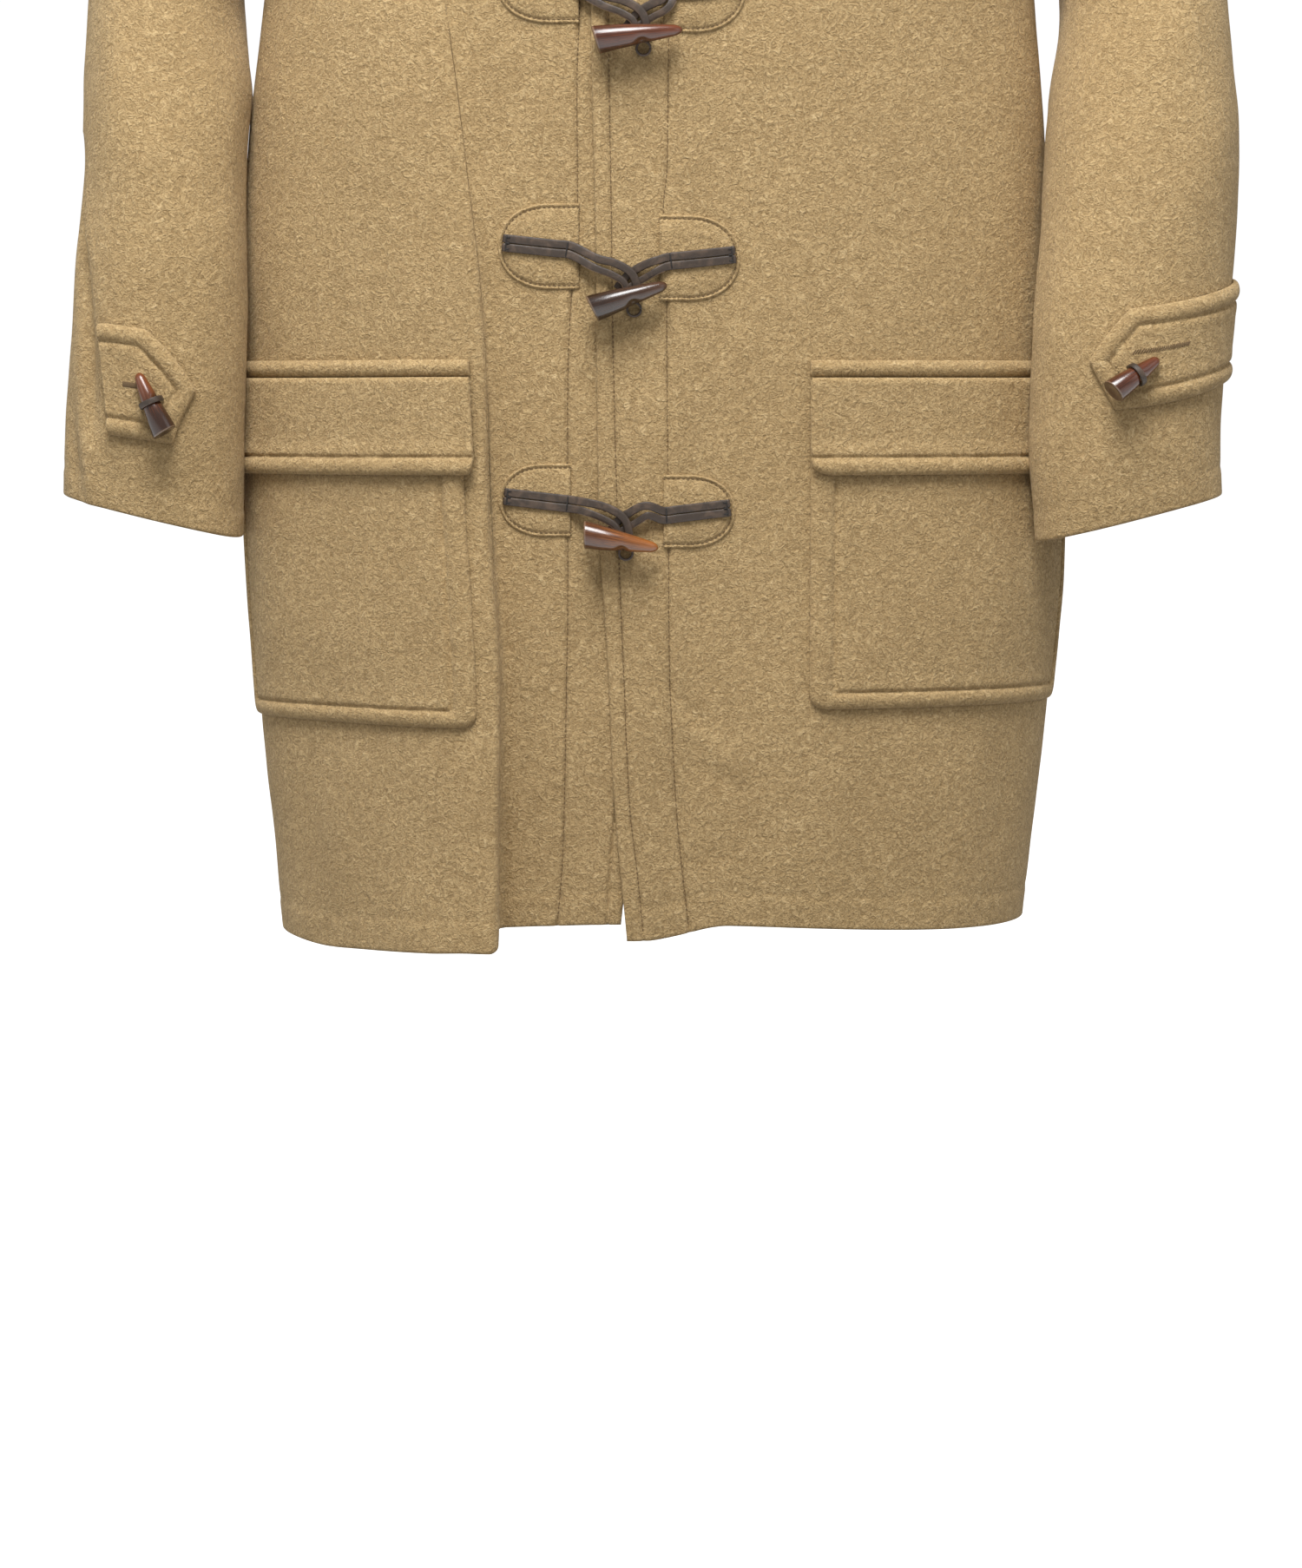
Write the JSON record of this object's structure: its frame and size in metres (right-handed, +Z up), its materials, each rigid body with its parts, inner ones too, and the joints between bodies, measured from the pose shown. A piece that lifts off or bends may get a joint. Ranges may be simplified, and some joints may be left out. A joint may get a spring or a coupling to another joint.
{
  "type": "duffle coat",
  "caption": "Camel wool duffle coat with four horn toggles on leather loops, flapped patch pockets, cuff tabs and a hood lying back, hollow as worn.",
  "frame": {"origin": "between the shoulders at the neck, where the wearer carries the coat", "axes": "+Z up, the front faces -Y, +X to the viewer's right"},
  "size_m": [0.8289, 0.3307, 0.9888],
  "materials": {
    "wool": "thick napped camel wool, matt, with a fine curled pile",
    "leather": "dark brown leather, semi-gloss",
    "horn": "polished brown horn with a lengthwise grain"
  },
  "bodies": {
    "root": {"front_left": "wool", "front_right": "wool", "back": "wool", "sleeve_left": "wool", "sleeve_right": "wool", "hood": "wool", "pocket_left": "wool", "flap_left": "wool", "welt_left": "wool", "pocket_right": "wool", "flap_right": "wool", "welt_right": "wool", "patch_left_1": "wool", "patch_right_1": "wool", "patch_left_2": "wool", "patch_right_2": "wool", "patch_left_3": "wool", "patch_right_3": "wool", "patch_left_4": "wool", "patch_right_4": "wool", "cuff_tab_left": "wool", "cuff_tab_right": "wool", "strap_left_1": "leather", "strap_right_1": "leather", "strap_left_2": "leather", "strap_right_2": "leather", "strap_left_3": "leather", "strap_right_3": "leather", "strap_left_4": "leather", "strap_right_4": "leather", "cuff_loop_left": "leather", "cuff_loop_right": "leather", "toggle_1": "horn", "toggle_2": "horn", "toggle_3": "horn", "toggle_4": "horn", "cuff_toggle_left": "horn", "cuff_toggle_right": "horn"}
  },
  "joints": []
}
